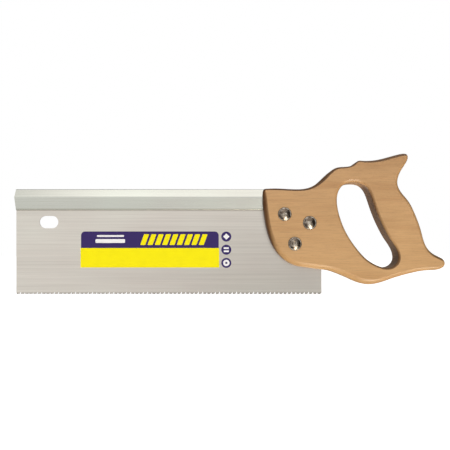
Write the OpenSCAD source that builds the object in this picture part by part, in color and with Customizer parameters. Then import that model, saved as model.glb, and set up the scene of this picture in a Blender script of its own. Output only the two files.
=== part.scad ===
// Back saw: a stiff rectangular plate with fine crosscut teeth, a folded
// steel back along its top edge, and a closed wooden handle held by three
// saw screws with split nuts. Millimetres.
// X runs from the toe (-X) to the handle (+X), Z is up, the tooth tips lie
// on Z = 0 and the plate's mid-plane is Y = 0. X = 0 is the middle of the
// saw's length. The screw heads are on the -Y side.

/* [Plate] */
// Length of the saw plate, from toe to heel
plate_l = 304.8; // [250:0.1:360]
// Height of the plate, from tooth tips to its hidden top edge
plate_h = 100; // [98:0.5:102]
// Thickness of the plate
plate_t = 0.9; // [0.6:0.05:1]
// Teeth per inch
tpi = 12; // [8:1:16]
// Depth of a tooth as a share of its pitch
tooth_depth = 0.8; // [0.4:0.05:0.8]
// Tip position within a pitch, from the toe side
tooth_lean = 0.3; // [0.1:0.05:0.5]
// End-to-end length of the hanging slot
slot_l = 18.7; // [14:0.1:24]
// Height of the hanging slot
slot_h = 12.3; // [8:0.1:13]

/* [Back] */
// Height of the back's top fold above the tooth tips
back_top = 105; // [104:0.5:108]
// Height of the back's lips above the tooth tips
back_bottom = 84.5; // [84:0.5:86]
// Height of the widest line along its sides
back_ridge = 94.5; // [92:0.5:97]
// Thickness across the two ridges
back_w = 11; // [9:0.1:11.2]
// Thickness of the folded sheet
back_sheet = 1.2; // [0.8:0.1:1.4]
// Distance from the heel to the rear end of the back
back_gap = 30; // [26:1:34]

/* [Handle] */
// Thickness of the handle
handle_t = 22; // [20:0.5:24]
// Share of the full edge rounding
edge_round = 1; // [0.5:0.1:1]
// Side clearance of the plate in its kerf
kerf_clear = 0.05; // [0.05:0.05:0.2]
// Depth of the kerf past the heel
kerf_past = 3; // [1:0.5:6]

/* [Saw screws] */
// Diameter of the domed heads and of the nuts
head_d = 13; // [11:0.5:14]
// Height of the dome above the cheek
head_rise = 2.4; // [1.5:0.1:3]
// Diameter of the screw shank
shank_d = 4.9; // [4:0.1:5]
// Outer diameter of the nut barrels
barrel_d = 6.5; // [6:0.1:7]
// How far the nuts sit below the cheek
nut_sunk = 0.25; // [0.1:0.05:0.5]

/* [Label] */
// Length of the printed label
label_l = 137.5; // [100:0.5:150]
// Height of the label's upper band
band_h = 16.5; // [10:0.5:18]
// Height of the label's lower panel
panel_h = 19.5; // [12:0.5:20]
// Diameter of the round badges
badge_d = 10; // [8:0.5:11]
// Thickness of the printed film
film_t = 0.1; // [0.1:0.05:0.2]

/* [Hidden] */
$fn = 64;
eps = 0.01;

// The handle's horns reach this far behind the heel
handle_reach = 120;
heel = (plate_l - handle_reach) / 2;

pitch = 25.4 / tpi;
teeth = floor(plate_l / pitch);
depth = pitch * tooth_depth;

// Saw screw centres, as distance from the heel and height
FRONT = [-38, 79.5];
REAR = [-13.5, 71];
LOWER = [-28, 50.5];
SCREWS = [FRONT, REAR, LOWER];

cheek = handle_t / 2;
seat = 1; // depth of the near counterbore
nut_t = 1.5;

// Handle outline: distance from the heel, height, edge radius.
// Control points of a closed cubic B-spline, clockwise from the front top.
OUTER = [
    [-55.5, 104.5, 1.5], [-47, 105, 2], [-38, 104.5, 2], [-29, 104, 2],
    [-20, 104, 2], [-11.5, 106, 2.5], [-4, 111, 3], [3, 118, 3],
    [9.5, 124, 2.5], [15, 126, 2], [21, 126, 2], [27, 126.5, 1.5],
    [31, 129, 1.5], [34, 132.5, 1.5], [38, 132, 2], [45, 132, 2.5],
    [54, 133, 3], [63, 135.5, 3], [72, 138, 3], [78.5, 139.5, 3],
    [83, 139, 2.5], [84, 134, 3], [80, 127.5, 3], [76, 121.5, 3.5],
    [73.5, 115, 3.5], [73, 108.5, 3.5], [76.5, 101.5, 3.5],
    [82, 95.5, 3.5], [86.5, 89.5, 3.5], [90, 81.5, 3.5],
    [94, 72, 3.5], [97, 62.5, 3.5], [99, 53.5, 3.5], [102.5, 45.5, 3.5],
    [108.5, 40, 3], [114.5, 37.5, 3], [119.5, 35, 3], [120.5, 29, 3],
    [115.5, 25.5, 3], [109, 24.5, 3.5], [100, 24.5, 3.5], [90, 22.5, 4],
    [80, 20, 4], [70, 17, 4.5], [61, 13.5, 5], [53, 11, 5],
    [44, 10, 5.5], [35, 12, 5.5], [26, 16.5, 5.5], [16.5, 20.5, 5.5],
    [6, 24.5, 5], [-5, 25.5, 5], [-15, 27, 5], [-25, 28, 5],
    [-34.5, 32, 5], [-42.5, 38.5, 5], [-48.5, 47, 5], [-52.5, 57.5, 5],
    [-55.5, 69, 5], [-57, 80, 5], [-58.5, 90, 4.5], [-58.5, 98, 2.5],
    [-58.5, 104.5, 1.5]];
// Grip opening, clockwise from its top
GRIP = [
    [30, 111, 3], [37.5, 110.5, 3], [43.5, 105.5, 3], [47, 97.5, 2.5],
    [50, 88, 2.5], [54, 77, 2.5], [59, 66.5, 2.5], [64, 57, 2.5],
    [70, 49, 2.5], [74, 41, 2], [74, 33, 2], [68, 27, 2],
    [59.5, 26.5, 2], [50.5, 30, 2], [42.5, 35, 2.5], [35, 43, 2.5],
    [27.5, 53, 2.5], [21, 64, 2.5], [16.5, 76, 2.5], [13.5, 88, 2.5],
    [13.5, 98.5, 3], [17, 106.5, 3], [23, 110.5, 3]];

steps = 3;   // points per span of the outlines
arcs = 4;    // flats per quarter round

function blend(a, b, c, d, t) = (a * pow(1 - t, 3)
    + b * (3 * pow(t, 3) - 6 * t * t + 4)
    + c * (-3 * pow(t, 3) + 3 * t * t + 3 * t + 1) + d * pow(t, 3)) / 6;
function curve(P, m) = let (n = len(P)) [for (i = [0:n - 1], k = [0:m - 1])
    blend(P[(i + n - 1) % n], P[i], P[(i + 1) % n], P[(i + 2) % n], k / m)];
// Unit normal on the right of the direction of travel
function side(C, i) = let (n = len(C), a = C[(i + n - 1) % n],
    b = C[(i + 1) % n], d = [b[0] - a[0], b[1] - a[1]]) [d[1], -d[0]] / norm(d);
// One ring of the rounded edge: the outline moved by a share of its edge
// radius, at a height within the edge radius of the cheek
function ring(C, s, turn, way) = [for (i = [0:len(C) - 1])
    let (r = C[i][2] * edge_round, d = side(C, i) * way * r * (1 - cos(turn)))
    [C[i][0] + d[0], s * (cheek - r * (1 - sin(turn))), C[i][1] + d[1]]];
function rings(C, way) = [
    for (k = [arcs:-1:0]) each ring(C, -1, 90 * k / arcs, way),
    for (k = [0:arcs]) each ring(C, 1, 90 * k / arcs, way)];
function band(n, k, o, flip) = [for (i = [0:n - 1])
    let (a = o + k * n + i, b = o + k * n + (i + 1) % n, c = a + n, d = b + n)
    each (flip ? [[a, b, c], [b, d, c]] : [[a, c, b], [b, c, d]])];
// Indices from i up to j round a ring of n, wrapping
function span(i, j, n) = [for (k = [0:(j - i + n) % n]) (i + k) % n];
function shift(L, o) = [for (v = L) v + o];
function back_to_front(L) = [for (i = [len(L) - 1:-1:0]) L[i]];

// The wood before any slot or hole is cut: cheeks, rounded edges and grip
module handle_blank() {
    CO = curve(OUTER, steps);
    CG = curve(GRIP, steps);
    no = len(CO);
    ng = len(CG);
    last = 2 * arcs + 1;
    og = no * (last + 1);
    // Each cheek is split into two plain polygons between outline and grip
    a0 = 9 * steps; a1 = 52 * steps;
    g0 = 0; g1 = 14 * steps;
    right = concat(span(a0, a1, no),
        shift(back_to_front(span(g0, g1, ng)), og));
    left = concat(span(a1, a0, no),
        shift(back_to_front(span(g1, g0, ng)), og));
    far = [for (h = [right, left]) [for (v = h) v < og ? v + last * no
        : v + last * ng]];
    faces = concat(
        [for (k = [0:last - 1]) each band(no, k, 0, false)],
        [for (k = [0:last - 1]) each band(ng, k, og, true)],
        [right, left],
        [for (f = far) back_to_front(f)]);
    resize([0, handle_t, 0])
        polyhedron(concat(rings(CO, 1), rings(CG, -1)), faces, convexity = 10);
}

// Round bar along Y between two stations
module bar(at, d, y0, y1) {
    translate([at[0], y1, at[1]]) rotate([90, 0, 0])
        cylinder(h = y1 - y0, d = d);
}

module hang_slot() {
    reach = (slot_l - slot_h) / 2;
    for (s = [-1, 1]) bar([s * reach, 0], slot_h, -3, 3);
    translate([-reach, -3, -slot_h / 2]) cube([2 * reach, 6, slot_h]);
}

module saw_plate() {
    color([0.80, 0.79, 0.76]) translate([heel, 0, 0]) difference() {
        translate([-plate_l, plate_t / 2, 0]) rotate([90, 0, 0])
            linear_extrude(plate_t) polygon(concat(
                [[plate_l, plate_h], [0, plate_h]],
                [for (i = [0:teeth - 1]) each [[i * pitch, depth],
                    [(i + tooth_lean) * pitch, 0]]],
                [[teeth * pitch, depth]],
                teeth * pitch < plate_l - 0.01 ? [[plate_l, depth]] : []));
        for (s = SCREWS) bar(s, barrel_d + 0.2, -3, 3);
        translate([-plate_l + 32.5, 0, 72.3]) hang_slot();
    }
}

// One sheet folded over the top edge, bellied at the ridges, with both
// lips closed hard against the plate
module back() {
    t = back_sheet;
    h = plate_t / 2;
    w = back_w / 2;
    half = [[t + 0.1, back_top], [w - 0.7, back_ridge + 4], [w, back_ridge],
        [h + t, back_bottom]];
    hole = [[0.55, back_top - t], [w - 0.7 - 1.2 * t, back_ridge + 3.6],
        [w - 1.08 * t, back_ridge - 0.1],
        [h, back_bottom + 3.5], [h, back_bottom - 1]];
    color([0.86, 0.86, 0.83]) translate([heel - back_gap, 0, 0])
        rotate([0, -90, 0]) linear_extrude(plate_l - back_gap)
        difference() {
            polygon(concat([for (p = half) [p[1], p[0]]],
                [for (p = back_to_front(half)) [p[1], -p[0]]]));
            polygon(concat([for (p = hole) [p[1], p[0]]],
                [for (p = back_to_front(hole)) [p[1], -p[0]]]));
        }
}

module handle() {
    kerf = plate_t + 2 * kerf_clear;
    color([0.78, 0.61, 0.42]) translate([heel, 0, 0]) difference() {
        handle_blank();
        // Kerf for the plate
        translate([-70, -kerf / 2, 0]) cube([70 + kerf_past, kerf, 130]);
        // Open mortise for the back
        translate([-70, -back_w / 2 - 0.2, back_bottom - 0.2])
            cube([70 - back_gap + 0.5, back_w + 0.4, 40]);
        for (s = SCREWS) {
            bar(s, barrel_d + 0.1, -cheek - 1, cheek + 1);
            bar(s, head_d + 0.4, -cheek - 1, -cheek + seat);
            bar(s, head_d + 0.4, cheek - nut_sunk - nut_t, cheek + 1);
        }
    }
}

// Domed head with a cross recess, and a plain shank
module saw_screw(at) {
    rim = 0.7;
    h = seat + head_rise - rim;
    r = (head_d * head_d / 4 + h * h) / (2 * h);
    top = -cheek - head_rise;
    color([0.80, 0.79, 0.78]) translate([heel, 0, 0]) difference() {
        union() {
            intersection() {
                translate([at[0], top + r, at[1]]) sphere(r, $fn = 96);
                bar(at, head_d, top - 1, -cheek + seat);
            }
            bar(at, shank_d, -cheek + seat - 0.5, cheek - 4);
        }
        translate([at[0], top + 0.6, at[1]]) for (a = [0, 90])
            rotate([0, a + 45, 0]) cube([1.1, 3, 5.6], center = true);
    }
}

// Flat slotted head with a barrel bored for the shank
module split_nut(at) {
    face = cheek - nut_sunk;
    color([0.74, 0.73, 0.71]) translate([heel, 0, 0]) difference() {
        union() {
            bar(at, head_d, face - nut_t, face);
            bar(at, barrel_d, -4, face - 0.5);
        }
        bar(at, shank_d + 0.1, -5, cheek - 3.5);
        translate([at[0], face, at[1]]) rotate([0, 20, 0])
            cube([head_d + 2, 1.6, 1.3], center = true);
    }
}

module screw_front() { saw_screw(FRONT); }
module screw_rear() { saw_screw(REAR); }
module screw_lower() { saw_screw(LOWER); }
module nut_front() { split_nut(FRONT); }
module nut_rear() { split_nut(REAR); }
module nut_lower() { split_nut(LOWER); }

// Printed films on the -Y side of the plate
label_x = heel - 102.7 - label_l;
label_z = 26.9;
module film(t = film_t) {
    translate([0, -plate_t / 2, 0]) rotate([90, 0, 0])
        linear_extrude(t) children();
}
module label_band() {
    r = 4;
    z0 = label_z + panel_h;
    color([0.24, 0.17, 0.42]) film() union() {
        translate([label_x, z0]) square([label_l, band_h - r]);
        translate([label_x + r, z0]) square([label_l - 2 * r, band_h]);
        for (x = [r, label_l - r]) translate([label_x + x, z0 + band_h - r])
            circle(r);
    }
}
module label_panel() {
    color([0.98, 0.90, 0.10]) film() translate([label_x - 0.5, label_z])
        square([label_l + 1, panel_h]);
}
module label_badges() {
    color([0.24, 0.17, 0.42]) film() for (z = [31.5, 44.7, 57.8])
        translate([heel - 95.1, z]) circle(d = badge_d);
}

saw_plate();
back();
handle();
screw_front();
screw_rear();
screw_lower();
nut_front();
nut_rear();
nut_lower();
label_band();
label_panel();
label_badges();
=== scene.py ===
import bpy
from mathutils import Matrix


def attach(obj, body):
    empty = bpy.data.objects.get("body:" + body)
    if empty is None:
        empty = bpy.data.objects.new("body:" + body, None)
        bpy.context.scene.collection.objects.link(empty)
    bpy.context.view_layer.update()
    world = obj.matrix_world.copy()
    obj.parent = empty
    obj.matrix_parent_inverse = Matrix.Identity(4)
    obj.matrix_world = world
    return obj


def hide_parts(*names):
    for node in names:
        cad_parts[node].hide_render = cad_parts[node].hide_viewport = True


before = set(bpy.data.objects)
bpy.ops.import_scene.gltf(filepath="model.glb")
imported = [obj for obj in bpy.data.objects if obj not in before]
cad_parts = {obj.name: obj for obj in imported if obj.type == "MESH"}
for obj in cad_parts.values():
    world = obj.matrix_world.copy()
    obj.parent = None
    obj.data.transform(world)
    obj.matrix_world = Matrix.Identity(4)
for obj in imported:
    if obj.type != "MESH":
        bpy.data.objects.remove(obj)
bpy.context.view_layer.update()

import math

import bmesh
import bpy
import numpy as np
from mathutils import Matrix, Vector

scene = bpy.context.scene
MM = 0.001
HEEL = 92.4          # the plate's heel in the row frame
PLATE_L, PLATE_H, PLATE_T = 304.8, 100.0, 0.9
BACK_TOP, BACK_BOTTOM, BACK_RIDGE, BACK_W, BACK_SHEET, BACK_GAP = 105.0, 84.5, 94.5, 11.0, 1.2, 30.0
CHEEK = 11.0
SCREWS = [("front", -38.0, 79.5), ("rear", -13.5, 71.0), ("lower", -28.0, 50.5)]
HEAD_R, HEAD_RISE, BARREL_R = 6.5, 2.4, 3.25
TURN = {"front": 24.0, "rear": 38.0, "lower": 12.0}

# Handle outline and grip opening: distance from the heel, height, edge radius
OUTER = [
    (-55.5, 104.5, 1.5), (-47, 105, 2), (-38, 104.5, 2), (-29, 104, 2),
    (-20, 104, 2), (-11.5, 106, 2.5), (-4, 111, 3), (3, 118, 3),
    (9.5, 124, 2.5), (15, 126, 2), (21, 126, 2), (27, 126.5, 1.5),
    (31, 129, 1.5), (34, 132.5, 1.5), (38, 132, 2), (45, 132, 2.5),
    (54, 133, 3), (63, 135.5, 3), (72, 138, 3), (78.5, 139.5, 3),
    (83, 139, 2.5), (84, 134, 3), (80, 127.5, 3), (76, 121.5, 3.5),
    (73.5, 115, 3.5), (73, 108.5, 3.5), (76.5, 101.5, 3.5),
    (82, 95.5, 3.5), (86.5, 89.5, 3.5), (90, 81.5, 3.5),
    (94, 72, 3.5), (97, 62.5, 3.5), (99, 53.5, 3.5), (102.5, 45.5, 3.5),
    (108.5, 40, 3), (114.5, 37.5, 3), (119.5, 35, 3), (120.5, 29, 3),
    (115.5, 25.5, 3), (109, 24.5, 3.5), (100, 24.5, 3.5), (90, 22.5, 4),
    (80, 20, 4), (70, 17, 4.5), (61, 13.5, 5), (53, 11, 5),
    (44, 10, 5.5), (35, 12, 5.5), (26, 16.5, 5.5), (16.5, 20.5, 5.5),
    (6, 24.5, 5), (-5, 25.5, 5), (-15, 27, 5), (-25, 28, 5),
    (-34.5, 32, 5), (-42.5, 38.5, 5), (-49, 47, 5), (-53.3, 57.5, 5),
    (-56.4, 69, 5), (-58, 80, 5), (-59.4, 90, 5), (-59.4, 98, 4.5),
    (-59.2, 104.5, 2)]
GRIP = [
    (30, 111, 3), (37.5, 110.5, 3), (43.5, 105.5, 3), (47, 97.5, 2.5),
    (50, 88, 2.5), (54, 77, 2.5), (59, 66.5, 2.5), (64, 57, 2.5),
    (70, 49, 2.5), (74, 41, 2), (74, 33, 2), (68, 27, 2),
    (59.5, 26.5, 2), (50.5, 30, 2), (42.5, 35, 2.5), (35, 43, 2.5),
    (27.5, 53, 2.5), (21, 64, 2.5), (16.5, 76, 2.5), (13.5, 88, 2.5),
    (13.5, 98.5, 3), (17, 106.5, 3), (23, 110.5, 3)]


# ---------------------------------------------------------------- helpers
def add(name, mesh):
    o = bpy.data.objects.new(name, mesh)
    scene.collection.objects.link(o)
    return o


def mesh_of(name, verts, faces):
    m = bpy.data.meshes.new(name)
    m.from_pydata([tuple(float(c) * MM for c in v) for v in verts], [], [tuple(f) for f in faces])
    m.validate()
    m.update()
    return m


def apply_all(o):
    dg = bpy.context.evaluated_depsgraph_get()
    dg.update()
    m = bpy.data.meshes.new_from_object(o.evaluated_get(dg), depsgraph=dg)
    o.modifiers.clear()
    old = o.data
    o.data = m
    if old.users == 0:
        bpy.data.meshes.remove(old)
    return o


def shade(o, angle=35, weighted=True):
    """Smooth shading with crisp edges, and face-weighted normals so flats stay flat."""
    m = o.data
    for p in m.polygons:
        p.use_smooth = True
    bm = bmesh.new()
    bm.from_mesh(m)
    bm.normal_update()
    lim = math.radians(angle)
    for e in bm.edges:
        e.smooth = not (len(e.link_faces) != 2 or e.calc_face_angle(0.0) > lim)
    bm.to_mesh(m)
    bm.free()
    if weighted:
        w = o.modifiers.new("w", "WEIGHTED_NORMAL")
        w.mode = "FACE_AREA_WITH_ANGLE"
        w.weight = 60
        w.keep_sharp = True
        apply_all(o)
    return o


def outward(o):
    bm = bmesh.new()
    bm.from_mesh(o.data)
    bmesh.ops.recalc_face_normals(bm, faces=bm.faces[:])
    bm.to_mesh(o.data)
    bm.free()
    return o


def cut(o, *tools):
    for t in tools:
        b = o.modifiers.new("b", "BOOLEAN")
        b.operation = "DIFFERENCE"
        b.solver = "EXACT"
        b.object = t
        apply_all(o)
        bpy.data.objects.remove(t)
    return o


def block(name, x0, x1, y0, y1, z0, z1):
    v = [(x, y, z) for x in (x0, x1) for y in (y0, y1) for z in (z0, z1)]
    f = [(0, 1, 3, 2), (4, 6, 7, 5), (0, 4, 5, 1), (2, 3, 7, 6), (0, 2, 6, 4), (1, 5, 7, 3)]
    return outward(add(name, mesh_of(name, v, f)))


def lathe(name, at, profile, n=72):
    """profile: (radius, y) points from one end of the axis to the other; the axis runs along Y."""
    verts, faces, rows = [], [], []
    for r, y in profile:
        if r < 1e-6:
            rows.append([len(verts)])
            verts.append((at[0], y, at[1]))
        else:
            rows.append(list(range(len(verts), len(verts) + n)))
            for k in range(n):
                a = 2 * math.pi * k / n
                verts.append((at[0] + r * math.cos(a), y, at[1] + r * math.sin(a)))
    for a, b in zip(rows, rows[1:]):
        for k in range(n):
            k2 = (k + 1) % n
            if len(a) == 1 and len(b) == 1:
                continue
            if len(a) == 1:
                faces.append((a[0], b[k], b[k2]))
            elif len(b) == 1:
                faces.append((a[k], b[0], a[k2]))
            else:
                faces.append((a[k], b[k], b[k2], a[k2]))
    return outward(add(name, mesh_of(name, verts, faces)))


def closed_curve(P, n):
    P = np.array(P, float)
    N, out = len(P), []
    for i in range(N):
        q = [P[i - 1], P[i], P[(i + 1) % N], P[(i + 2) % N]]
        for k in range(n):
            t = k / n
            b = [(1 - t) ** 3, 3 * t ** 3 - 6 * t * t + 4, -3 * t ** 3 + 3 * t * t + 3 * t + 1, t ** 3]
            out.append(sum(w * p for w, p in zip(b, q)) / 6)
    return np.array(out)


def right_normals(C):
    d = np.roll(C[:, :2], -1, 0) - np.roll(C[:, :2], 1, 0)
    d /= np.linalg.norm(d, axis=1)[:, None]
    return np.stack([d[:, 1], -d[:, 0]], 1)


def round_poly(pts, radii, seg=6):
    """Rounds the corners of a closed 2D polygon."""
    out, N = [], len(pts)
    for i in range(N):
        p = np.array(pts[i], float)
        r = radii[i] if isinstance(radii, (list, tuple)) else radii
        if r <= 0:
            out.append(tuple(p))
            continue
        a = np.array(pts[i - 1], float) - p
        b = np.array(pts[(i + 1) % N], float) - p
        la, lb = np.linalg.norm(a), np.linalg.norm(b)
        a, b = a / la, b / lb
        half = math.acos(max(-1, min(1, float(a @ b)))) / 2
        d = min(r / math.tan(half), 0.48 * la, 0.48 * lb)
        rr = d * math.tan(half)
        c = p + (a + b) / np.linalg.norm(a + b) * (rr / math.sin(half))
        s, e = p + a * d - c, p + b * d - c
        t0, t1 = math.atan2(s[1], s[0]), math.atan2(e[1], e[0])
        dt = (t1 - t0 + math.pi) % (2 * math.pi) - math.pi
        for k in range(seg + 1):
            t = t0 + dt * k / seg
            out.append((c[0] + rr * math.cos(t), c[1] + rr * math.sin(t)))
    return out


def flat_shape(name, loops, y0, y1, bevel=0.0, seg=2):
    """Closed loops in X and Z (the first the outline, the others holes), filled and given thickness from y0 to y1."""
    cu = bpy.data.curves.new(name, "CURVE")
    cu.dimensions = "2D"
    cu.fill_mode = "BOTH"
    for L in loops:
        sp = cu.splines.new("POLY")
        sp.points.add(len(L) - 1)
        for p, (x, z) in zip(sp.points, L):
            p.co = (x * MM, z * MM, 0, 1)
        sp.use_cyclic_u = True
    half = abs(y1 - y0) / 2
    cu.extrude = (half - bevel) * MM
    cu.bevel_depth = bevel * MM
    cu.bevel_resolution = seg
    cu.offset = -bevel * MM
    o = bpy.data.objects.new(name, cu)
    scene.collection.objects.link(o)
    dg = bpy.context.evaluated_depsgraph_get()
    dg.update()
    m = bpy.data.meshes.new_from_object(o.evaluated_get(dg), depsgraph=dg)
    bpy.data.objects.remove(o)
    bpy.data.curves.remove(cu)
    # the curve lies in X and Y: turn it up into X and Z
    m.transform(Matrix.Translation((0, (y0 + y1) / 2 * MM, 0)) @ Matrix.Rotation(math.pi / 2, 4, "X"))
    bm = bmesh.new()
    bm.from_mesh(m)
    bmesh.ops.remove_doubles(bm, verts=bm.verts[:], dist=1e-7)
    bmesh.ops.recalc_face_normals(bm, faces=bm.faces[:])
    bm.to_mesh(m)
    bm.free()
    return add(name, m)


def circle(x, z, r, n=40, a0=0.0):
    return [(x + r * math.cos(a0 + 2 * math.pi * k / n), z + r * math.sin(a0 + 2 * math.pi * k / n)) for k in range(n)]


def rect(x0, x1, z0, z1, r=0.0, seg=5):
    p = [(x0, z0), (x1, z0), (x1, z1), (x0, z1)]
    return round_poly(p, r, seg) if r else p


# ---------------------------------------------------------------- camera first
cam_data = bpy.data.cameras.new("camera")
cam = bpy.data.objects.new("camera", cam_data)
scene.collection.objects.link(cam)
cam.location = Vector((-4.0, -500.0, 44.4)) * MM
cam.rotation_euler = (math.radians(90), 0, 0)
cam_data.sensor_width = 36.0
cam_data.lens = 40.0
cam_data.shift_x = 0.0
cam_data.shift_y = 25.0 / 450.0
cam_data.clip_start = 0.01
cam_data.dof.use_dof = False
scene.camera = cam


# ---------------------------------------------------------------- materials
def material(name):
    m = bpy.data.materials.new(name)
    m.use_nodes = True
    nt = m.node_tree
    nt.nodes.clear()
    out = nt.nodes.new("ShaderNodeOutputMaterial")
    bs = nt.nodes.new("ShaderNodeBsdfPrincipled")
    nt.links.new(bs.outputs[0], out.inputs[0])
    return m, nt, bs


def N(nt, kind, **kw):
    n = nt.nodes.new("ShaderNode" + kind)
    for k, v in kw.items():
        setattr(n, k, v)
    return n


def L(nt, a, b):
    nt.links.new(a, b)


def lin(c):
    return tuple(((v / 255) / 12.92 if v / 255 <= 0.04045 else ((v / 255 + 0.055) / 1.055) ** 2.4) for v in c) + (1.0,)


def position(nt, scale=(1, 1, 1), rot=(0, 0, 0), loc=(0, 0, 0)):
    """Object position in metres, turned and stretched: the row frame, the same in every view."""
    tc = N(nt, "TexCoord")
    mp = N(nt, "Mapping")
    mp.inputs["Location"].default_value = loc
    mp.inputs["Rotation"].default_value = rot
    mp.inputs["Scale"].default_value = scale
    L(nt, tc.outputs["Object"], mp.inputs["Vector"])
    return mp.outputs["Vector"]


def noise(nt, vec, scale=1.0, detail=3.0, rough=0.55, distortion=0.0):
    n = N(nt, "TexNoise")
    n.inputs["Scale"].default_value = scale
    n.inputs["Detail"].default_value = detail
    n.inputs["Roughness"].default_value = rough
    n.inputs["Distortion"].default_value = distortion
    L(nt, vec, n.inputs["Vector"])
    return n.outputs["Fac"]


def ramp(nt, fac, stops, interp="LINEAR"):
    r = N(nt, "ValToRGB")
    r.color_ramp.interpolation = interp
    e = r.color_ramp.elements
    while len(e) < len(stops):
        e.new(0.5)
    for el, (p, c) in zip(e, stops):
        el.position = p
        el.color = c if len(c) == 4 else tuple(c) + (1.0,)
    L(nt, fac, r.inputs["Fac"])
    return r.outputs["Color"]


def grey(v):
    return (v, v, v, 1.0)


def mix(nt, fac, a, b, blend="MIX"):
    m = N(nt, "Mix", data_type="RGBA", blend_type=blend)
    if isinstance(fac, (int, float)):
        m.inputs[0].default_value = fac
    else:
        L(nt, fac, m.inputs[0])
    for s, i in ((a, 6), (b, 7)):
        if isinstance(s, tuple):
            m.inputs[i].default_value = s
        else:
            L(nt, s, m.inputs[i])
    return m.outputs[2]


def maths(nt, op, a, b=None, clamp=False):
    m = N(nt, "Math", operation=op, use_clamp=clamp)
    for s, i in ((a, 0), (b, 1)):
        if s is None:
            continue
        if isinstance(s, (int, float)):
            m.inputs[i].default_value = s
        else:
            L(nt, s, m.inputs[i])
    return m.outputs[0]


def bump(nt, height, strength, dist, normal=None):
    b = N(nt, "Bump")
    b.inputs["Strength"].default_value = strength
    b.inputs["Distance"].default_value = dist
    L(nt, height, b.inputs["Height"])
    if normal is not None:
        L(nt, normal, b.inputs["Normal"])
    return b.outputs["Normal"]


def wood_material():
    m, nt, bs = material("beech_varnished")
    tilt = (0, math.radians(-6.0), 0)
    # slow bands of early and late wood, bent a little along their length
    bands = noise(nt, position(nt, (9, 170, 150), tilt, (0.3, 0.1, 0.7)), 1.0, 3, 0.5, 0.5)
    fine = noise(nt, position(nt, (55, 900, 1000), tilt), 1.0, 4, 0.6)
    # short dark rays, a millimetre or two long
    fleck = noise(nt, position(nt, (420, 3600, 3600), tilt, (2.1, 0.4, 1.3)), 1.0, 1.5, 0.5)
    cloud = noise(nt, position(nt, (16, 22, 34), tilt, (0.9, 2.2, 0.1)), 1.0, 2, 0.5)
    warm = ramp(nt, bands, [(0.28, lin((199, 155, 107))), (0.46, lin((206, 164, 115))),
                            (0.60, lin((211, 169, 120))), (0.78, lin((202, 158, 109)))])
    fine_dark = ramp(nt, fine, [(0.30, grey(0.86)), (0.48, grey(0.98)), (0.72, grey(1.05))])
    warm = mix(nt, 1.0, warm, fine_dark, "MULTIPLY")
    flecks = ramp(nt, fleck, [(0.60, grey(1.0)), (0.72, (0.80, 0.74, 0.68, 1))])
    warm = mix(nt, 0.7, warm, flecks, "MULTIPLY")
    clouds = ramp(nt, cloud, [(0.25, (0.94, 0.93, 0.91, 1)), (0.75, (1.04, 1.03, 1.01, 1))])
    warm = mix(nt, 1.0, warm, clouds, "MULTIPLY")
    # painted shade: a little redder and darker toward the top of the handle, away from the low light
    sep = N(nt, "SeparateXYZ")
    L(nt, position(nt), sep.inputs[0])
    height = N(nt, "MapRange")
    L(nt, sep.outputs["Z"], height.inputs["Value"])
    height.inputs["From Min"].default_value = 0.02
    height.inputs["From Max"].default_value = 0.125
    warm = mix(nt, 1.0, warm, mix(nt, height.outputs[0], (1.01, 1.00, 0.98, 1), (0.89, 0.87, 0.90, 1)), "MULTIPLY")
    # painted shade: walls that face up and forward are darkened, where the low light from the lower right does not
    # reach
    tc = N(nt, "TexCoord")
    nrm = N(nt, "SeparateXYZ")
    L(nt, tc.outputs["Normal"], nrm.inputs[0])
    wall = maths(nt, "SUBTRACT", 1.0, maths(nt, "ABSOLUTE", nrm.outputs["Y"]))
    away = maths(nt, "ADD", maths(nt, "MULTIPLY", nrm.outputs["X"], -0.75), maths(nt, "MULTIPLY", nrm.outputs["Z"], 1.05))
    painted_shade_mask = N(nt, "MapRange", interpolation_type="SMOOTHSTEP")
    L(nt, maths(nt, "ADD", maths(nt, "MULTIPLY", away, 0.75), maths(nt, "MULTIPLY", wall, 0.55)), painted_shade_mask.inputs["Value"])
    painted_shade_mask.inputs["From Min"].default_value = 0.04
    painted_shade_mask.inputs["From Max"].default_value = 0.50
    painted_shade = maths(nt, "MULTIPLY", painted_shade_mask.outputs[0], ramp(nt, bands, [(0.3, grey(0.86)), (0.7, grey(1.0))]))
    # the painted shade fades toward the back of the handle
    front = N(nt, "MapRange")
    L(nt, sep.outputs["X"], front.inputs["Value"])
    front.inputs["From Min"].default_value = 0.050
    front.inputs["From Max"].default_value = 0.125
    front.inputs["To Min"].default_value = 1.0
    front.inputs["To Max"].default_value = 0.74
    painted_shade = maths(nt, "MULTIPLY", painted_shade, front.outputs[0])
    warm = mix(nt, painted_shade, warm, mix(nt, 1.0, warm, (0.19, 0.12, 0.075, 1), "MULTIPLY"))
    # painted shade and sheen: every wall away from the cheeks is darkened and cooled toward grey
    edge = N(nt, "MapRange", interpolation_type="SMOOTHSTEP")
    L(nt, wall, edge.inputs["Value"])
    edge.inputs["From Min"].default_value = 0.25
    edge.inputs["From Max"].default_value = 0.95
    warm = mix(nt, edge.outputs[0], warm, mix(nt, 1.0, warm, (0.80, 0.80, 0.86, 1), "MULTIPLY"))
    L(nt, warm, bs.inputs["Base Color"])
    r = ramp(nt, fine, [(0.3, grey(0.48)), (0.7, grey(0.38))])
    L(nt, r, bs.inputs["Roughness"])
    bs.inputs["Specular IOR Level"].default_value = 0.30
    bs.inputs["Coat Weight"].default_value = 0.22
    bs.inputs["Coat Roughness"].default_value = 0.16
    pores = bump(nt, fleck, 0.04, 0.00004)
    L(nt, bump(nt, fine, 0.05, 0.00005, pores), bs.inputs["Normal"])
    return m


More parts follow.
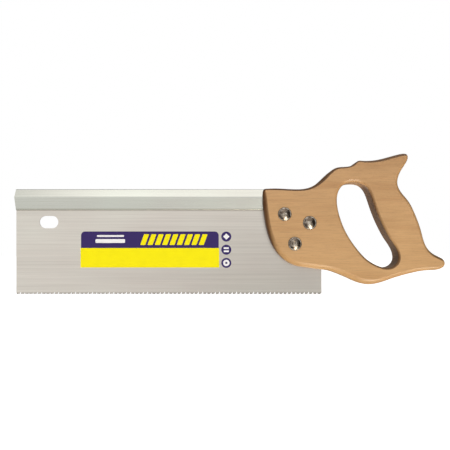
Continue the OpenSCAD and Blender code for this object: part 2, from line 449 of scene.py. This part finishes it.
def steel_material(name, tint, dark, rough=(0.30, 0.42), streak=0.5, strength=0.10, bands=(), painted_dim_corner=None):
    m, nt, bs = material(name)
    # rolling and brushing lines run along the saw
    lines = noise(nt, position(nt, (9, 300, 5200), (0, 0, 0), (0.2, 0, 0.4)), 1.0, 4, 0.65)
    wide = noise(nt, position(nt, (5, 40, 420), (0, 0, 0), (1.7, 0, 0.9)), 1.0, 3, 0.55)
    patch = noise(nt, position(nt, (16, 16, 22), (0, 0, 0), (0.5, 0.3, 2.4)), 1.0, 2, 0.5)
    c = ramp(nt, lines, [(0.25, dark), (0.5, tint), (0.78, tuple(min(1, v * 1.05) for v in tint[:3]) + (1.0,))])
    c = mix(nt, streak, c, ramp(nt, wide, [(0.3, grey(0.88)), (0.7, grey(1.07))]), "MULTIPLY")
    c = mix(nt, 0.8, c, ramp(nt, patch, [(0.3, (0.975, 0.955, 0.955, 1)), (0.7, (1.01, 1.03, 1.02, 1))]), "MULTIPLY")
    # painted shade: each band darkens the steel around one height
    if bands:
        sep = N(nt, "SeparateXYZ")
        L(nt, position(nt), sep.inputs[0])
        wobble = maths(nt, "MULTIPLY", maths(nt, "SUBTRACT", wide, 0.5), 0.0006)
        z = maths(nt, "ADD", sep.outputs["Z"], wobble)
        for at, half, tone in bands:
            # painted shade: a darker band at a height, full on the line, gone at half its width
            far = maths(nt, "ABSOLUTE", maths(nt, "SUBTRACT", z, at * MM))
            fade = N(nt, "MapRange", interpolation_type="SMOOTHSTEP")
            L(nt, far, fade.inputs["Value"])
            fade.inputs["From Min"].default_value = half * MM
            fade.inputs["From Max"].default_value = half * MM * 0.45
            c = mix(nt, fade.outputs[0], c, mix(nt, 1.0, c, tone, "MULTIPLY"))
    if painted_dim_corner:
        # painted shade: the steel is dimmed around one corner
        away = N(nt, "VectorMath", operation="LENGTH")
        L(nt, position(nt, (1, 0, 2.8), (0, 0, 0), (-painted_dim_corner * MM, 0, 0)), away.inputs[0])
        fade = N(nt, "MapRange", interpolation_type="SMOOTHSTEP")
        L(nt, away.outputs["Value"], fade.inputs["Value"])
        fade.inputs["From Min"].default_value = 0.34
        fade.inputs["From Max"].default_value = 0.0
        c = mix(nt, fade.outputs[0], c, mix(nt, 1.0, c, (0.76, 0.75, 0.75, 1), "MULTIPLY"))
    L(nt, c, bs.inputs["Base Color"])
    bs.inputs["Metallic"].default_value = 1.0
    L(nt, ramp(nt, lines, [(0.25, grey(rough[1])), (0.75, grey(rough[0]))]), bs.inputs["Roughness"])
    L(nt, bump(nt, lines, strength, 0.00003), bs.inputs["Normal"])
    return m


def chrome_material():
    m, nt, bs = material("nickel_tarnished_painted_highlight")
    swirl = noise(nt, position(nt, (900, 900, 900)), 1.0, 3, 0.6, 0.6)
    spots = noise(nt, position(nt, (420, 420, 420), (0.3, 0.2, 0.1)), 1.0, 3, 0.6)
    c = ramp(nt, spots, [(0.34, (0.11, 0.080, 0.060, 1)), (0.50, (0.23, 0.185, 0.145, 1)), (0.66, (0.46, 0.40, 0.34, 1))])
    # painted highlight: bright cream on the crown and just below it, where the lamp below shines; elsewhere the darker
    # tarnished brown stays, out to the rim
    tc = N(nt, "TexCoord")
    nrm = N(nt, "SeparateXYZ")
    L(nt, tc.outputs["Normal"], nrm.inputs[0])
    painted_highlight_mask = N(nt, "MapRange", interpolation_type="SMOOTHSTEP")
    L(nt, maths(nt, "ADD", maths(nt, "ABSOLUTE", nrm.outputs["Y"]), maths(nt, "MULTIPLY", nrm.outputs["Z"], -0.14)), painted_highlight_mask.inputs["Value"])
    painted_highlight_mask.inputs["From Min"].default_value = 0.95
    painted_highlight_mask.inputs["From Max"].default_value = 1.0
    painted_highlight = ramp(nt, spots, [(0.36, (0.34, 0.27, 0.20, 1)), (0.50, (0.66, 0.57, 0.46, 1)), (0.62, (0.95, 0.88, 0.76, 1))])
    c = mix(nt, painted_highlight_mask.outputs[0], c, painted_highlight)
    L(nt, c, bs.inputs["Base Color"])
    bs.inputs["Metallic"].default_value = 1.0
    L(nt, ramp(nt, swirl, [(0.3, grey(0.34)), (0.7, grey(0.24))]), bs.inputs["Roughness"])
    L(nt, bump(nt, swirl, 0.08, 0.00005), bs.inputs["Normal"])
    return m


def ink_material(name, colour, deep, rough=0.38):
    m, nt, bs = material(name)
    grain = noise(nt, position(nt, (30, 300, 2600)), 1.0, 3, 0.6)
    mottle = noise(nt, position(nt, (90, 90, 90)), 1.0, 2, 0.5)
    c = mix(nt, ramp(nt, grain, [(0.3, grey(0.0)), (0.8, grey(0.35))]), colour, deep)
    c = mix(nt, 1.0, c, ramp(nt, mottle, [(0.3, grey(0.97)), (0.7, grey(1.02))]), "MULTIPLY")
    L(nt, c, bs.inputs["Base Color"])
    L(nt, ramp(nt, grain, [(0.3, grey(rough)), (0.7, grey(rough + 0.10))]), bs.inputs["Roughness"])
    bs.inputs["Specular IOR Level"].default_value = 0.18
    L(nt, bump(nt, grain, 0.05, 0.00002), bs.inputs["Normal"])
    return m


WOOD = wood_material()
# plate: painted shadow in a band just under the back's lip, painted shade in a band along the teeth, and painted shade
# dimming the steel around the heel
PLATE = steel_material("plate_steel", lin((234, 228, 219)), lin((216, 208, 197)), (0.30, 0.42), 0.6, 0.12,
                       ((84.1, 0.9, (0.72, 0.71, 0.69, 1)), (-0.2, 2.6, (0.58, 0.57, 0.56, 1))), HEEL)
# back: painted shade in a band along its lower lip
BACK = steel_material("back_steel", lin((221, 222, 213)), lin((211, 211, 201)), (0.19, 0.25), 0.25, 0.04,
                      ((85.0, 1.0, (0.80, 0.79, 0.76, 1)),))
CHROME = chrome_material()
PURPLE = ink_material("ink_purple", lin((56, 41, 102)), lin((64, 49, 110)))
YELLOW = ink_material("ink_yellow", lin((255, 241, 0)), lin((252, 234, 2)))
WHITE = ink_material("ink_white", lin((248, 247, 250)), lin((238, 236, 242)))


def dress(o, mat, node=None):
    o.data.materials.clear()
    o.data.materials.append(mat)
    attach(o, "root")
    if node:
        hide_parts(node)
    return o


# ---------------------------------------------------------------- handle
def build_handle():
    n_out, n_grip, arcs = 8, 10, 11
    co, cg = closed_curve(OUTER, n_out), closed_curve(GRIP, n_grip)
    verts, faces = [], []

    # edge section as shares of the edge radius: from the wall, over a round, to a crisp line on the cheek
    sweep = math.radians(52)
    sec = []
    for k in range(arcs - 1):
        a = sweep * k / (arcs - 1)
        sec.append((0.93 * (1 - math.cos(a)) / (1 - math.cos(sweep)), 1.2 * (1 - math.sin(a) / math.sin(sweep))))
    near, crease = sec[-1], (0.93, 0.0)
    start = tuple(n_ * 0.45 + c_ * 0.55 for n_, c_ in zip(near, crease))
    end = (1.0, 0.0)
    for t in (0.0, 0.5, 1.0):
        sec.append(tuple((1 - t) ** 2 * s_ + 2 * t * (1 - t) * c_ + t * t * e_ for s_, c_, e_ in zip(start, crease, end)))
    levels = len(sec)

    def rings(C, way):
        nr = right_normals(C) * way
        start = len(verts)
        for s, order in ((-1, range(levels - 1, -1, -1)), (1, range(0, levels))):
            for k in order:
                r = C[:, 2]
                d = nr * (r * sec[k][0])[:, None]
                y = s * (CHEEK - r * sec[k][1])
                for i in range(len(C)):
                    verts.append((HEEL + C[i, 0] + d[i, 0], y[i], C[i, 1] + d[i, 1]))
        n, rows = len(C), 2 * levels
        for k in range(rows - 1):
            for i in range(n):
                a0, b0 = start + k * n + i, start + k * n + (i + 1) % n
                faces.append((a0, b0, b0 + n, a0 + n))
        return start, n, rows

    so, no, ro = rings(co, 1)
    sg, ng, rg = rings(cg, -1)
    # cheeks: two plain polygons each side, split between outline and grip
    a0, a1, g1 = 9 * n_out, 52 * n_out, 14 * n_grip

    def run(i, j, n):
        return [(i + k) % n for k in range((j - i) % n + 1)]
    for level_o, level_g in ((so, sg), (so + (ro - 1) * no, sg + (rg - 1) * ng)):
        right = [level_o + i for i in run(a0, a1, no)] + [level_g + i for i in reversed(run(0, g1, ng))]
        left = [level_o + i for i in run(a1, a0, no)] + [level_g + i for i in reversed(run(g1, 0, ng))]
        faces.append(right)
        faces.append(left)
    o = outward(add("handle_beech", mesh_of("handle_beech", verts, faces)))
    kerf = block("t1", HEEL - 70, HEEL + 3, -0.5, 0.5, -5, 135)
    mortise = block("t2", HEEL - 70, HEEL - BACK_GAP + 0.5, -5.7, 5.7, BACK_BOTTOM - 0.2, 130)
    tools = [kerf, mortise]
    for _, u, z in SCREWS:
        tools.append(lathe("t3", (HEEL + u, z), [
            (0, -14), (6.75, -14), (6.75, -10), (3.3, -10), (3.3, 9.25), (6.7, 9.25), (6.7, 14), (0, 14)], 64))
    cut(o, *tools)
    shade(o, 40)
    return dress(o, WOOD, "handle")


# ---------------------------------------------------------------- plate
def build_plate():
    pitch = 25.4 / 12
    depth = pitch * 0.8
    teeth = int(PLATE_L / pitch + 0.01)
    x0 = HEEL - PLATE_L
    edge = [(x0 + PLATE_L, PLATE_H), (x0, PLATE_H)]
    for i in range(teeth):
        if i % 2:
            edge += [(x0 + (i - 0.1) * pitch, depth * 0.55), (x0 + (i + 0.18) * pitch, 0.0)]
        else:
            deep = depth * (1.45 + 0.25 * math.sin(i * 0.74))
            edge += [(x0 + i * pitch, deep), (x0 + (i + 0.42) * pitch, 0.0)]
    edge.append((x0 + teeth * pitch, depth))
    slot_x, slot_z = x0 + 32.5, 72.3
    r, half = 6.15, 3.2
    slot = [(slot_x + half + r * math.sin(a), slot_z + r * math.cos(a)) for a in np.linspace(0, math.pi, 25)]
    slot += [(slot_x - half - r * math.sin(a), slot_z - r * math.cos(a)) for a in np.linspace(0, math.pi, 25)]
    loops = [edge, slot]
    for _, u, z in SCREWS:
        loops.append(circle(HEEL + u, z, 3.35, 32))
    o = flat_shape("plate_toothed", loops, -PLATE_T / 2, PLATE_T / 2)
    # set: each tooth's tip leans to its own side, and its filed flanks are bevelled across the plate
    for v in o.data.vertices:
        z = v.co.z / MM
        if z > depth * 1.55:
            continue
        k = (v.co.x / MM - x0) / pitch
        tip = z < depth * 0.4
        i = int(math.floor(k + 1e-4)) if tip else int(round(k + 0.05))
        way = 1 if i % 2 else -1
        near = v.co.y < 0
        if tip:
            v.co.y += way * 0.22 * MM
            v.co.x += way * (0.22 if near else -0.22) * MM * 0.6
            if near == (way > 0):
                v.co.z += 0.28 * MM
        else:
            v.co.x += (1 if near else -1) * way * 0.12 * MM
    o.data.update()
    outward(o)
    shade(o, 30, weighted=False)
    return dress(o, PLATE, "saw_plate")


# ---------------------------------------------------------------- back
def build_back():
    t, h, w = BACK_SHEET, PLATE_T / 2, BACK_W / 2
    side = [(h + t, BACK_BOTTOM), (w, BACK_RIDGE + 1.5), (w - 0.12, BACK_RIDGE + 2.7), (t + 0.1, BACK_TOP)]
    hollow = [(0.55, BACK_TOP - t), (w - 0.3 - 1.2 * t, BACK_RIDGE + 3.4), (w - 1.08 * t, BACK_RIDGE + 1.3), (h, BACK_BOTTOM + 3.5), (h, BACK_BOTTOM)]
    outer = side + [(-y, z) for y, z in reversed(side)]
    inner = [(-y, z) for y, z in reversed(hollow)] + hollow
    loop = round_poly(outer + inner, [0.15, 1.2, 0.6, 1.0, 1.0, 0.6, 1.2, 0.15, 0, 0.4, 0.4, 0.4, 0.3, 0.3, 0.4, 0.4, 0.4, 0], 6)
    x0, x1 = HEEL - PLATE_L, HEEL - BACK_GAP
    n = len(loop)
    stations = [x0, x0 + 0.25, x0 + 0.9, (x0 + x1) / 2, x1]
    cen = np.mean(np.array(loop), axis=0)
    verts = []
    for s, x in enumerate(stations):
        for y, z in loop:
            verts.append((x, y, z))
    faces = [(s * n + i, s * n + (i + 1) % n, (s + 1) * n + (i + 1) % n, (s + 1) * n + i)
             for s in range(len(stations) - 1) for i in range(n)]
    faces.append(list(range(n)))
    faces.append(list(range((len(stations) - 1) * n, len(stations) * n)))
    o = outward(add("back_folded", mesh_of("back_folded", verts, faces)))
    shade(o, 35)
    return dress(o, BACK, "back")


# ---------------------------------------------------------------- screws and nuts
def build_screw(name, u, z):
    at = (HEEL + u, z)
    top = -CHEEK - HEAD_RISE
    seat = -CHEEK + 1.0
    # dome over a rolled rim
    prof = [(0, 7.0), (2.1, 7.0), (2.45, 6.6), (2.45, seat), (HEAD_R - 0.15, seat), (HEAD_R, seat - 0.2), (HEAD_R, seat - 1.2)]
    rim_y, cap = seat - 1.2, HEAD_R - 0.8
    prof += [(HEAD_R - 0.12, rim_y - 0.22), (HEAD_R - 0.4, rim_y - 0.32), (cap + 0.05, rim_y - 0.2)]
    rise = (rim_y - 0.2) - top
    rad = (cap ** 2 + rise ** 2) / (2 * rise)
    full = math.asin(cap / rad)
    for k in range(0, 15):
        a = full * (1 - k / 14)
        prof.append((rad * math.sin(a), top + rad * (1 - math.cos(a))))
    prof[-1] = (0, top)
    o = lathe("screw_" + name + "_domed", at, prof, 72)
    # cross recess: two tapered wings and a cone
    for a in (0, 90):
        wing = []
        for yy, l, t in ((top - 0.6, 3.1, 0.62), (top + 1.7, 1.9, 0.40)):
            for sx, sz in ((-1, -1), (1, -1), (1, 1), (-1, 1)):
                wing.append((sx * l, yy, sz * t))
        f = [(0, 1, 2, 3), (7, 6, 5, 4), (0, 4, 5, 1), (1, 5, 6, 2), (2, 6, 7, 3), (3, 7, 4, 0)]
        ang = math.radians(TURN[name] + a)
        wv = [(at[0] + x * math.cos(ang) - zz * math.sin(ang), y, at[1] + x * math.sin(ang) + zz * math.cos(ang)) for x, y, zz in wing]
        cut(o, outward(add("t", mesh_of("t", wv, f))))
    cut(o, lathe("t", at, [(0, top - 0.6), (1.5, top - 0.6), (1.0, top + 0.9), (0, top + 2.1)], 24))
    bv = o.modifiers.new("bv", "BEVEL")
    bv.width = 0.09 * MM
    bv.segments = 2
    bv.limit_method = "ANGLE"
    bv.angle_limit = math.radians(38)
    apply_all(o)
    shade(o, 42)
    return dress(o, CHROME, "screw_" + name)


def build_nut(name, u, z):
    at = (HEEL + u, z)
    face = CHEEK - 0.25
    prof = [(0, 7.5), (2.5, 7.5), (2.5, -4), (BARREL_R, -4), (BARREL_R, face - 1.5), (HEAD_R - 0.1, face - 1.5),
            (HEAD_R, face - 1.4), (HEAD_R, face - 0.35), (HEAD_R - 0.12, face - 0.1), (HEAD_R - 0.4, face), (3.5, face), (0, face)]
    o = lathe("nut_" + name + "_slotted", at, prof, 72)
    ang = math.radians(20 + TURN[name])
    s = block("t", -8, 8, face - 0.65, face + 1, -0.8, 0.8)
    s.data.transform(Matrix.Translation((at[0] * MM, 0, at[1] * MM)) @ Matrix.Rotation(ang, 4, "Y"))
    cut(o, s)
    bv = o.modifiers.new("bv", "BEVEL")
    bv.width = 0.08 * MM
    bv.segments = 2
    bv.limit_method = "ANGLE"
    bv.angle_limit = math.radians(50)
    apply_all(o)
    shade(o, 40)
    return dress(o, CHROME, "nut_" + name)


# ---------------------------------------------------------------- label art, generic shapes only
def build_label():
    for node, mat in (("label_band", PURPLE), ("label_panel", YELLOW), ("label_badges", PURPLE)):
        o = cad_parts[node]
        o.data.materials.clear()
        o.data.materials.append(mat)
    y0, y1 = -PLATE_T / 2 - 0.09, -PLATE_T / 2 - 0.14

    def art(name, loops, mat):
        o = flat_shape(name, loops, y0, y1)
        shade(o, 30, weighted=False)
        return dress(o, mat)

    def at(u):
        return HEEL + u
    # two plain white bars
    art("label_line_thin", [rect(at(-224.2), at(-197.2), 57.5, 59.3, 0.6)], WHITE)
    art("label_line_bold", [rect(at(-225.8), at(-196.2), 51.4, 55.3, 1.0)], WHITE)
    # a plain patch of nine slanted stripes
    for k in range(9):
        x = at(-181.2) + k * 7.3
        art("label_stripe_%d" % (k + 1), [round_poly([(x, 49.4), (x + 5.1, 49.4), (x + 9.1, 60.2), (x + 4.0, 60.2)], 0.6, 4)],
            YELLOW)
    # badges: a diamond, two equal bars, a ring
    bx = at(-95.1)
    art("badge_top_diamond", [circle(bx, 57.8, 3.2, 4)], WHITE)
    for k in range(2):
        art("badge_mid_bar_%d" % (k + 1), [rect(bx - 2.6, bx + 2.6, 42.3 + 3.1 * k, 44.0 + 3.1 * k, 0.4)], WHITE)
    art("badge_low_disc", [circle(bx, 31.5, 3.2, 40), circle(bx, 31.5, 1.1, 24)], WHITE)


build_handle()
build_plate()
build_back()
for nm, uu, zz in SCREWS:
    build_screw(nm, uu, zz)
    build_nut(nm, uu, zz)
build_label()


# ---------------------------------------------------------------- stage and light
floor = add("floor", mesh_of("floor", [(-3000, -3000, -0.3), (3000, -3000, -0.3), (3000, 3000, -0.3), (-3000, 3000, -0.3)], [(0, 1, 2, 3)]))
fm, fnt, fbs = material("floor_pale")
fbs.inputs["Base Color"].default_value = (0.86, 0.86, 0.86, 1)
fbs.inputs["Roughness"].default_value = 0.9
fbs.inputs["Specular IOR Level"].default_value = 0.1
fbs.inputs["Emission Color"].default_value = (1, 1, 1, 1)
fbs.inputs["Emission Strength"].default_value = 0.85
floor.data.materials.append(fm)
floor.visible_diffuse = False
floor.visible_glossy = False
floor.visible_shadow = False
floor.visible_transmission = False

world = bpy.data.worlds.new("studio")
scene.world = world
world.use_nodes = True
wnt = world.node_tree
wnt.nodes.clear()
wout = N(wnt, "OutputWorld")
wlit = N(wnt, "Background")
wsee = N(wnt, "Background")
wmix = N(wnt, "MixShader")
wpath = N(wnt, "LightPath")
wdir = N(wnt, "TexCoord").outputs["Generated"]


def lobe(direction, edge, core, colour):
    """Soft patch of light in the studio: full inside the core angle, gone past the edge angle, both in degrees."""
    d = Vector(direction).normalized()
    dot = N(wnt, "VectorMath", operation="DOT_PRODUCT")
    L(wnt, wdir, dot.inputs[0])
    dot.inputs[1].default_value = d
    r = N(wnt, "MapRange", interpolation_type="SMOOTHERSTEP")
    r.inputs["From Min"].default_value = math.cos(math.radians(edge))
    r.inputs["From Max"].default_value = math.cos(math.radians(core))
    L(wnt, dot.outputs["Value"], r.inputs["Value"])
    v = N(wnt, "VectorMath", operation="SCALE")
    v.inputs[0].default_value = colour
    L(wnt, r.outputs["Result"], v.inputs["Scale"])
    return v.outputs["Vector"]


total = None
for args in (
    ((-0.25, -1.00, 0.04), 58, 30, (0.775, 0.775, 0.77)),  # big front softbox
    ((-0.50, -0.62, 1.15), 28, 10, (0.64, 0.63, 0.62)),    # three strips over it
    ((0.00, -0.75, 1.15), 28, 10, (0.64, 0.63, 0.62)),
    ((0.50, -0.62, 1.15), 28, 10, (0.64, 0.63, 0.62)),
    ((0.308, -0.533, -0.788), 17, 8, (13.50, 12.85, 11.60)),  # warm key, low and to the right
    ((0.10, -0.43, -0.90), 14, 5, (5.00, 4.40, 3.50)),     # small lamp below
    ((0.00, 1.00, 0.10), 62, 24, (0.22, 0.20, 0.18)),      # behind, for the far side
    ((-0.60, 0.45, -0.60), 22, 9, (4.50, 4.40, 4.30)),
    ((0.30, 0.62, 1.00), 24, 10, (1.20, 1.20, 1.20)),
    ((0.00, 0.00, 1.00), 180, 60, (0.04, 0.04, 0.04)),
):
    v = lobe(*args)
    if total is None:
        total = v
    else:
        s_ = N(wnt, "VectorMath", operation="ADD")
        L(wnt, total, s_.inputs[0])
        L(wnt, v, s_.inputs[1])
        total = s_.outputs["Vector"]
L(wnt, total, wlit.inputs[0])
wlit.inputs[1].default_value = 1.0
wsee.inputs[0].default_value = (1, 1, 1, 1)
wsee.inputs[1].default_value = 1.0
L(wnt, wpath.outputs["Is Camera Ray"], wmix.inputs[0])
L(wnt, wlit.outputs[0], wmix.inputs[1])
L(wnt, wsee.outputs[0], wmix.inputs[2])
L(wnt, wmix.outputs[0], wout.inputs[0])

scene.view_settings.view_transform = "Standard"
scene.view_settings.look = "None"
scene.view_settings.exposure = 0.0
scene.view_settings.gamma = 1.0
